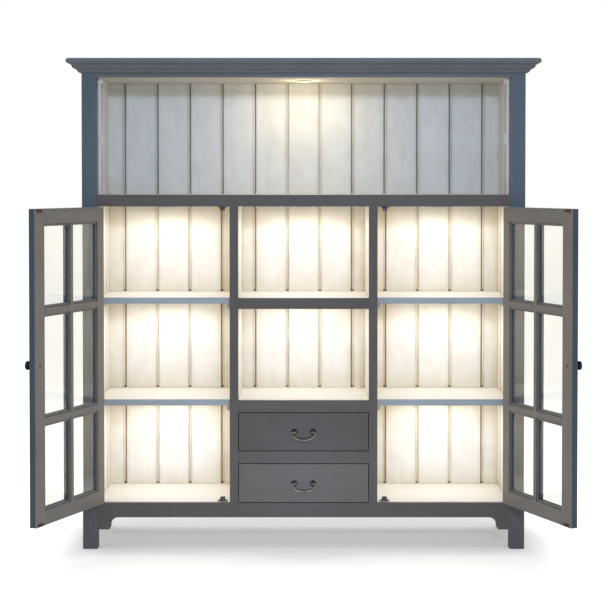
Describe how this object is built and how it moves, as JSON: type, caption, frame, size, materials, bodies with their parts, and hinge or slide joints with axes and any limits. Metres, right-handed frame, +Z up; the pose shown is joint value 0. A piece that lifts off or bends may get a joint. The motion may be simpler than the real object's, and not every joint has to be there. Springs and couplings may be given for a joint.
{
  "type": "kitchen cupboard",
  "caption": "Wide painted display cupboard: a lit open bay under a cornice, glazed doors over shelved side bays, and an open centre column above drawers with bail pulls.",
  "frame": {"origin": "middle of the footprint at floor level, with both doors standing open as pictured", "axes": "+X to the viewer's right along the width, +Y from the front to the back, +Z up"},
  "size_m": [2.1426, 0.98, 2.028],
  "materials": {
    "slate_paint": "satin slate blue-grey paint over wood, rubbed at the edges",
    "cream_glaze": "cream paint with a darker glaze in the grooves",
    "drawer_wood": "clear sealed hardwood",
    "glass": "clear float glass",
    "dark_bronze": "oil-rubbed dark bronze",
    "aged_brass": "aged antique brass, brighter on the wear points",
    "hinge_steel": "darkened steel",
    "puck_metal": "white coated aluminium",
    "puck_lens": "frosted warm diffuser"
  },
  "bodies": {
    "cabinet": {"front_right_post": "slate_paint", "front_left_post": "slate_paint", "back_posts": "slate_paint", "top_rail": "slate_paint", "middle_rail": "slate_paint", "base_rail": "slate_paint", "base_brackets": "slate_paint", "centre_stiles": "slate_paint", "bay_rails": "slate_paint", "back_planks": "cream_glaze", "partitions": "cream_glaze", "carcass_top": "cream_glaze", "middle_deck": "cream_glaze", "carcass_bottom": "cream_glaze", "bay_ceilings": "cream_glaze", "side_linings": "cream_glaze", "side_panels": "slate_paint", "side_rails": "slate_paint", "cornice_moulding": "slate_paint", "cornice_cap": "slate_paint", "adjustable_shelves": "cream_glaze", "shelf_lippings": "slate_paint", "shelf_cleats": "slate_paint", "centre_decks": "cream_glaze", "drawer_runners": "drawer_wood", "shelf_ladders": "cream_glaze", "catch_housings": "dark_bronze", "hinge_frame_leaves": "hinge_steel", "hinge_pins": "hinge_steel", "puck_bezels": "puck_metal", "puck_lenses": "puck_lens"},
    "left_door": {"left_door_hinge_stile": "slate_paint", "left_door_lock_stile": "slate_paint", "left_door_rails": "slate_paint", "left_door_glazing_bars": "slate_paint", "left_door_panes": "glass", "left_door_glazing_beads": "slate_paint", "left_door_knob": "dark_bronze", "left_door_strikes": "dark_bronze", "left_door_hinge_leaves": "hinge_steel"},
    "right_door": {"right_door_hinge_stile": "slate_paint", "right_door_lock_stile": "slate_paint", "right_door_rails": "slate_paint", "right_door_glazing_bars": "slate_paint", "right_door_panes": "glass", "right_door_glazing_beads": "slate_paint", "right_door_knob": "dark_bronze", "right_door_strikes": "dark_bronze", "right_door_hinge_leaves": "hinge_steel"},
    "lower_drawer": {"lower_drawer_front": "slate_paint", "lower_drawer_walls": "drawer_wood", "lower_drawer_bottom": "drawer_wood", "lower_drawer_pull_posts": "aged_brass"},
    "lower_drawer_bail": {"lower_drawer_bail": "aged_brass"},
    "upper_drawer": {"upper_drawer_front": "slate_paint", "upper_drawer_walls": "drawer_wood", "upper_drawer_bottom": "drawer_wood", "upper_drawer_pull_posts": "aged_brass"},
    "upper_drawer_bail": {"upper_drawer_bail": "aged_brass"}
  },
  "joints": [
    {"name": "left_door_hinge", "type": "hinge", "parent": "cabinet", "child": "left_door", "pos_m": [-0.8529, 0.02929, 0.806], "axis": [0, 0, -1], "range_deg": [-111.5, 60]},
    {"name": "right_door_hinge", "type": "hinge", "parent": "cabinet", "child": "right_door", "pos_m": [0.8529, 0.02929, 0.806], "axis": [0, 0, 1], "range_deg": [-111.5, 60]},
    {"name": "lower_drawer_slide", "type": "slide", "parent": "cabinet", "child": "lower_drawer", "axis": [0, -1, 0], "range_m": [0, 0.33]},
    {"name": "lower_drawer_bail_hinge", "type": "hinge", "parent": "lower_drawer", "child": "lower_drawer_bail", "pos_m": [0, 0.01879, 0.27395], "axis": [-1, 0, 0], "range_deg": [0, 90]},
    {"name": "upper_drawer_slide", "type": "slide", "parent": "cabinet", "child": "upper_drawer", "axis": [0, -1, 0], "range_m": [0, 0.33]},
    {"name": "upper_drawer_bail_hinge", "type": "hinge", "parent": "upper_drawer", "child": "upper_drawer_bail", "pos_m": [0, 0.01879, 0.48745], "axis": [-1, 0, 0], "range_deg": [0, 90]}
  ]
}
